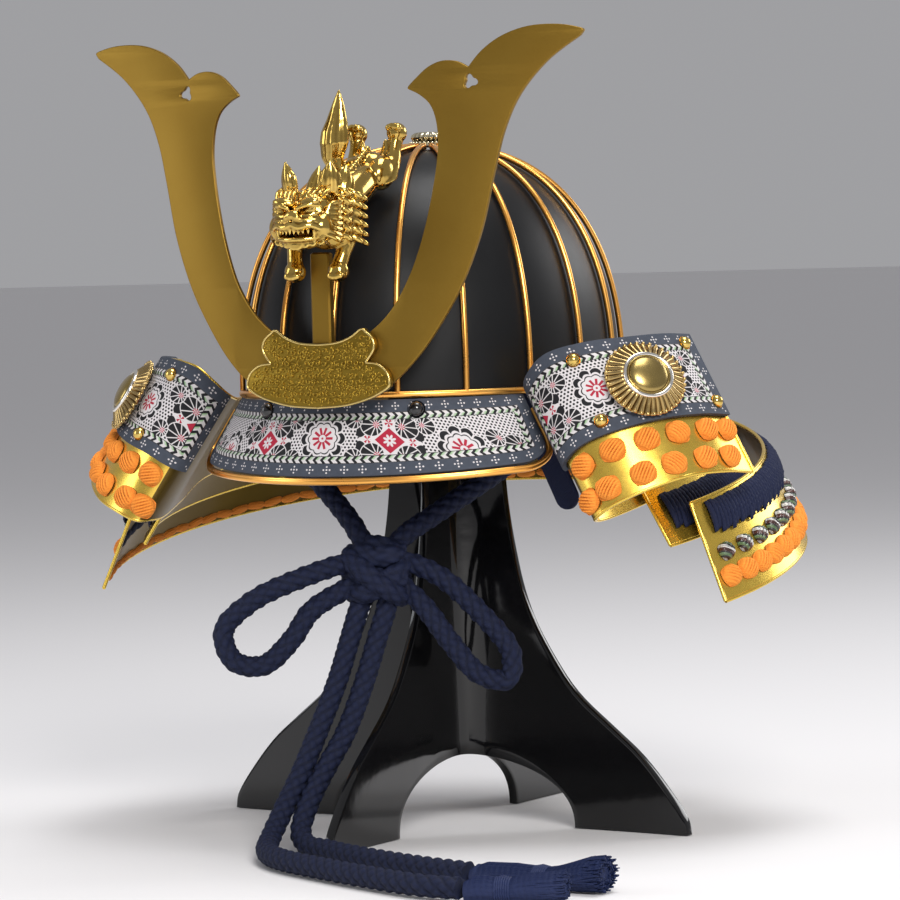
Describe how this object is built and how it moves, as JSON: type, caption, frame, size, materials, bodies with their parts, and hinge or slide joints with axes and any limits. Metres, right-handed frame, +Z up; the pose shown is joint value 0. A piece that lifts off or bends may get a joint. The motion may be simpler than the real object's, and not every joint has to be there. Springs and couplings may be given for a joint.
{
  "type": "kabuto samurai helmet on display stand",
  "caption": "Ribbed samurai helmet with swept horns, a leaping lion crest, turn-backs, laced neck guard and a knotted chin cord, on a black folding display stand",
  "frame": {"origin": "on the floor plane under the middle of the bounding box, measured without the chin cord and its tassels", "axes": "+Z up, -Y is the brow (front), +X is the wearer's left"},
  "size_m": [0.4354, 0.4772, 0.4588],
  "materials": {
    "bowl_black": "satin black lacquer over iron",
    "copper_piping": "bright copper gold",
    "finial_metal": "pale silver gold, polished",
    "printed_leather": "slate leather printed with traditional patterns",
    "satin_gold": "satin old gold",
    "base_plate_gold": "gold with raised scrolls",
    "cast_gold": "polished cast gold",
    "lame_gold": "gold lacquer",
    "orange_braid": "orange silk braid",
    "mixed_braid": "silk stitches in four colours",
    "navy_lacing": "navy silk lacing",
    "navy_cord": "navy braided cord",
    "stand_lacquer": "black gloss lacquer"
  },
  "bodies": {
    "root": {"bowl": "bowl_black", "rib_piping": "copper_piping", "finial": "finial_metal", "visor": "printed_leather", "visor_piping": "copper_piping", "visor_rivet_left": "bowl_black", "visor_rivet_right": "bowl_black", "horns": "satin_gold", "horn_base_plate": "base_plate_gold", "crest_strut": "satin_gold", "lion_crest": "cast_gold", "neck_lame_top": "lame_gold", "turnback_leather_left": "printed_leather", "turnback_medallion_left": "cast_gold", "turnback_knots_upper_left": "orange_braid", "turnback_knots_lower_left": "orange_braid", "turnback_stud_outer_upper_left": "cast_gold", "turnback_stud_outer_lower_left": "cast_gold", "turnback_stud_inner_upper_left": "cast_gold", "turnback_stud_inner_lower_left": "cast_gold", "turnback_leather_right": "printed_leather", "turnback_medallion_right": "cast_gold", "turnback_knots_upper_right": "orange_braid", "turnback_knots_lower_right": "orange_braid", "turnback_stud_outer_upper_right": "cast_gold", "turnback_stud_outer_lower_right": "cast_gold", "turnback_stud_inner_upper_right": "cast_gold", "turnback_stud_inner_lower_right": "cast_gold", "neck_lame_middle": "lame_gold", "neck_lame_low": "lame_gold", "lacing_middle": "navy_lacing", "lacing_low": "navy_lacing", "stitch_row": "mixed_braid", "knot_row_low": "orange_braid", "lining_tab": "navy_lacing", "cord_strand_left": "navy_cord", "cord_strand_right": "navy_cord", "cord_loop_left": "navy_cord", "cord_loop_right": "navy_cord", "cord_tail_outer": "navy_cord", "cord_tail_inner": "navy_cord", "chin_knot": "navy_cord", "cord_tassel_outer": "navy_cord", "cord_tassel_inner": "navy_cord", "stand_board_front": "stand_lacquer", "stand_board_rear": "stand_lacquer", "stand_post": "stand_lacquer"}
  },
  "joints": []
}
